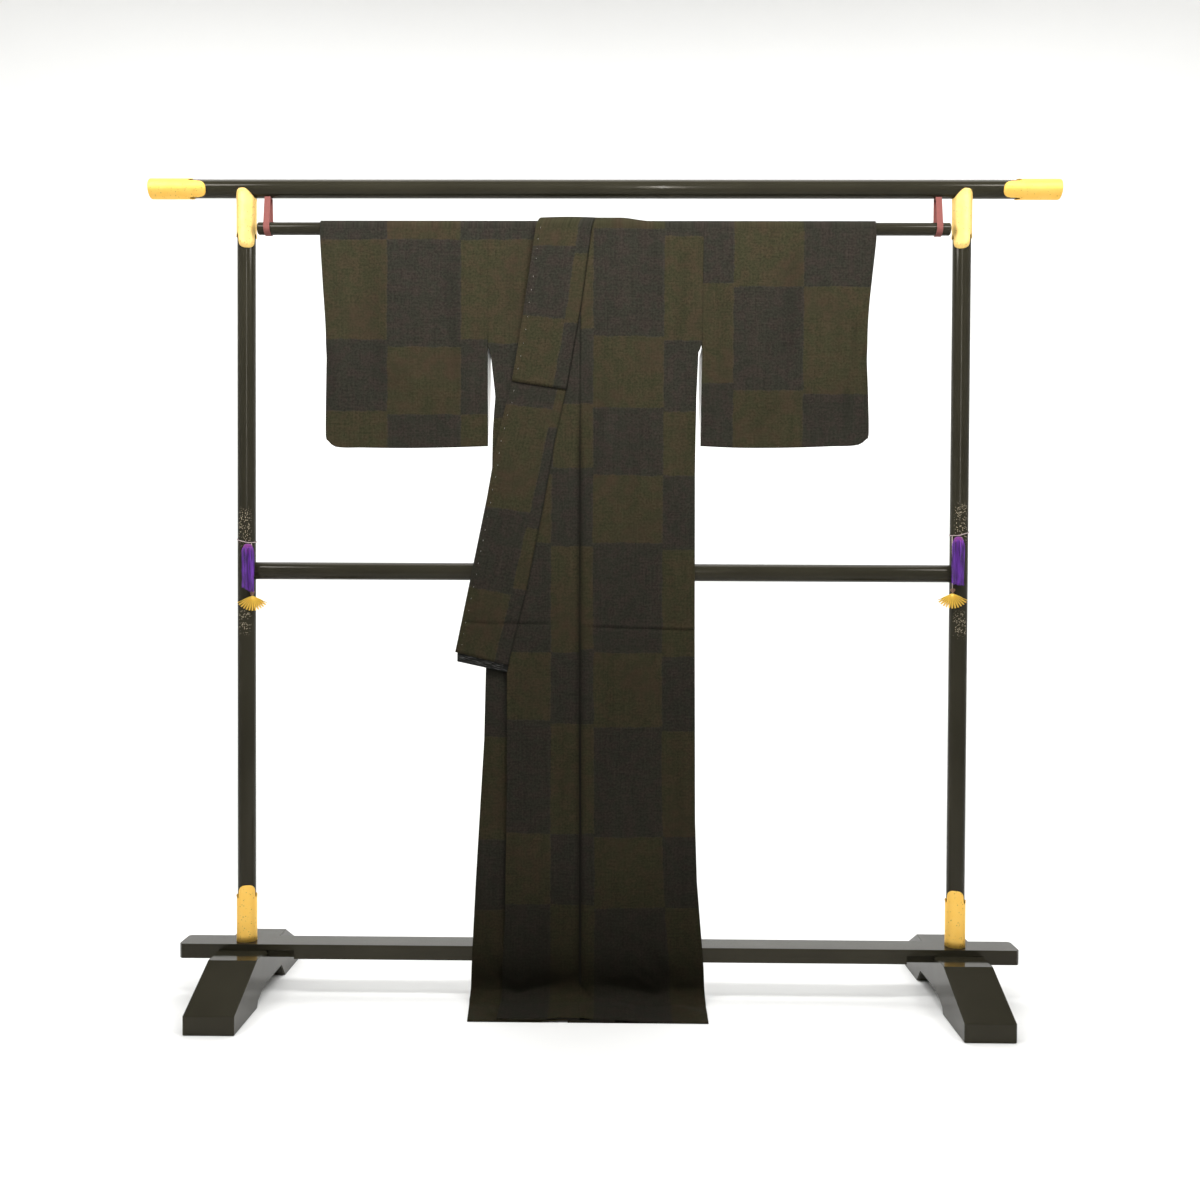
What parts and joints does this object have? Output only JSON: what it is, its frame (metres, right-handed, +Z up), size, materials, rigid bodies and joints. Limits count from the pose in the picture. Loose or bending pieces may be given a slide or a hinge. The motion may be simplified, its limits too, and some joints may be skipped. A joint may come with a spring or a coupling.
{
  "type": "silk kimono on a lacquered kimono stand",
  "caption": "Dark check-patterned silk kimono hung closed over the rod of a black lacquered kimono stand with gilt fittings, tassels and fans.",
  "frame": {"origin": "on the floor, midway between the two feet and under the plane of the posts", "axes": "+Z up; +X to the right as the front is looked at, which is the wearer's left; +Y away from the viewer, so the front of the kimono faces -Y"},
  "size_m": [1.8108, 0.437, 1.6363],
  "materials": {
    "lacquer": "black lacquered wood, gloss",
    "gilt": "gilt metal, satin",
    "silk": "woven silk, matt",
    "strap": "woven strap, matt",
    "tassel": "silk strands",
    "cord": "twisted cord"
  },
  "bodies": {
    "root": {"top_rail": "lacquer", "middle_rail": "lacquer", "hanging_rod": "lacquer", "post_left": "lacquer", "post_right": "lacquer", "base_plank": "lacquer", "foot_left": "lacquer", "foot_right": "lacquer", "fitting_bottom_left": "gilt", "fitting_top_left": "gilt", "fitting_bottom_right": "gilt", "fitting_top_right": "gilt", "end_cap_left": "gilt", "end_cap_right": "gilt", "fan_left": "gilt", "fan_right": "gilt", "rod_strap_left": "strap", "rod_strap_right": "strap", "tassel_loop_left": "cord", "tassel_loop_right": "cord", "fan_cord_left": "cord", "fan_cord_right": "cord", "tassel_left": "tassel", "tassel_right": "tassel", "body_left": "silk", "body_right": "silk", "okumi_left": "silk", "okumi_right": "silk", "collar": "silk", "over_collar": "silk", "sleeve_left": "silk", "sleeve_right": "silk"}
  },
  "joints": []
}
